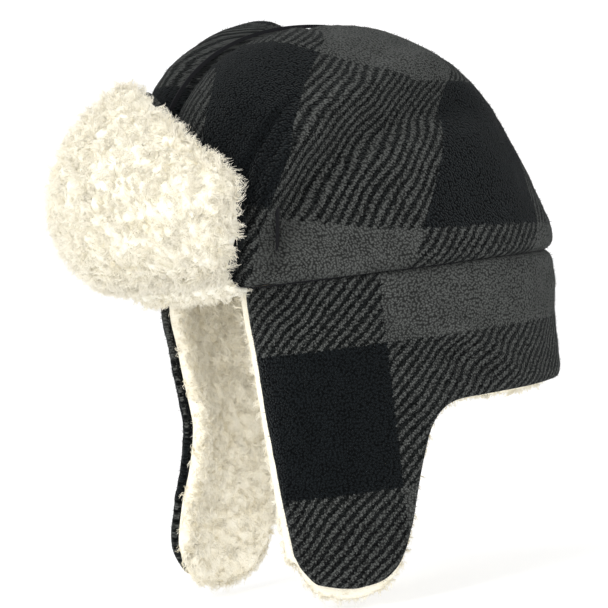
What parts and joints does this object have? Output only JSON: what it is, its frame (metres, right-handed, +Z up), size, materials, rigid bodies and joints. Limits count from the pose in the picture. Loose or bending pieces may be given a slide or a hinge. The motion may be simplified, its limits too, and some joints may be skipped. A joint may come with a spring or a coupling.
{
  "type": "trapper hat",
  "caption": "Warm cap of plaid cloth lined with sherpa: rounded crown, neck band, hanging ear flaps and a turned-up sherpa front flap.",
  "frame": {"origin": "centre of the head opening, level with the seam between the crown and the neck band", "axes": "+X to the wearer's left, +Y to the back of the head, +Z up to the top of the crown; the brow is at -Y"},
  "size_m": [0.198, 0.2933, 0.3165],
  "materials": {
    "plaid_cloth": "brushed woven flannel in black and charcoal blocks with diagonal twill lines",
    "sherpa": "ivory curled pile",
    "wadding": "loose fibre",
    "stiffener": "plain interlining",
    "thread": "matt twisted thread"
  },
  "bodies": {
    "crown_and_band": {"crown_shell_left": "plaid_cloth", "crown_shell_right": "plaid_cloth", "crown_wadding_left": "wadding", "crown_wadding_right": "wadding", "crown_lining_left": "sherpa", "crown_lining_right": "sherpa", "crown_centre_seam": "thread", "crown_dart_seam_left": "thread", "crown_dart_seam_right": "thread", "crown_seam": "thread", "neck_band_shell": "plaid_cloth", "neck_band_wadding": "wadding", "neck_band_lining": "sherpa", "neck_band_edge_seam": "thread"},
    "earflap_left": {"earflap_shell_left": "plaid_cloth", "earflap_wadding_left": "wadding", "earflap_lining_left": "sherpa", "earflap_edge_seam_left": "thread"},
    "earflap_right": {"earflap_shell_right": "plaid_cloth", "earflap_wadding_right": "wadding", "earflap_lining_right": "sherpa", "earflap_edge_seam_right": "thread"},
    "front_flap": {"front_flap_backing": "plaid_cloth", "front_flap_stiffener": "stiffener", "front_flap_facing": "sherpa", "front_flap_edge_seam": "thread"}
  },
  "joints": [
    {"name": "earflap_left_fold", "type": "hinge", "parent": "crown_and_band", "child": "earflap_left", "pos_m": [0.0836, -0.0599, -0.0744], "axis": [-0.3746, -0.9272, 0], "range_deg": [-12, 150]},
    {"name": "earflap_right_fold", "type": "hinge", "parent": "crown_and_band", "child": "earflap_right", "pos_m": [-0.0836, -0.0599, -0.0744], "axis": [-0.3746, 0.9272, 0], "range_deg": [-12, 150]},
    {"name": "front_flap_fold", "type": "hinge", "parent": "crown_and_band", "child": "front_flap", "pos_m": [0, -0.124, 0.002], "axis": [1, 0, 0], "range_deg": [0, 110]}
  ]
}
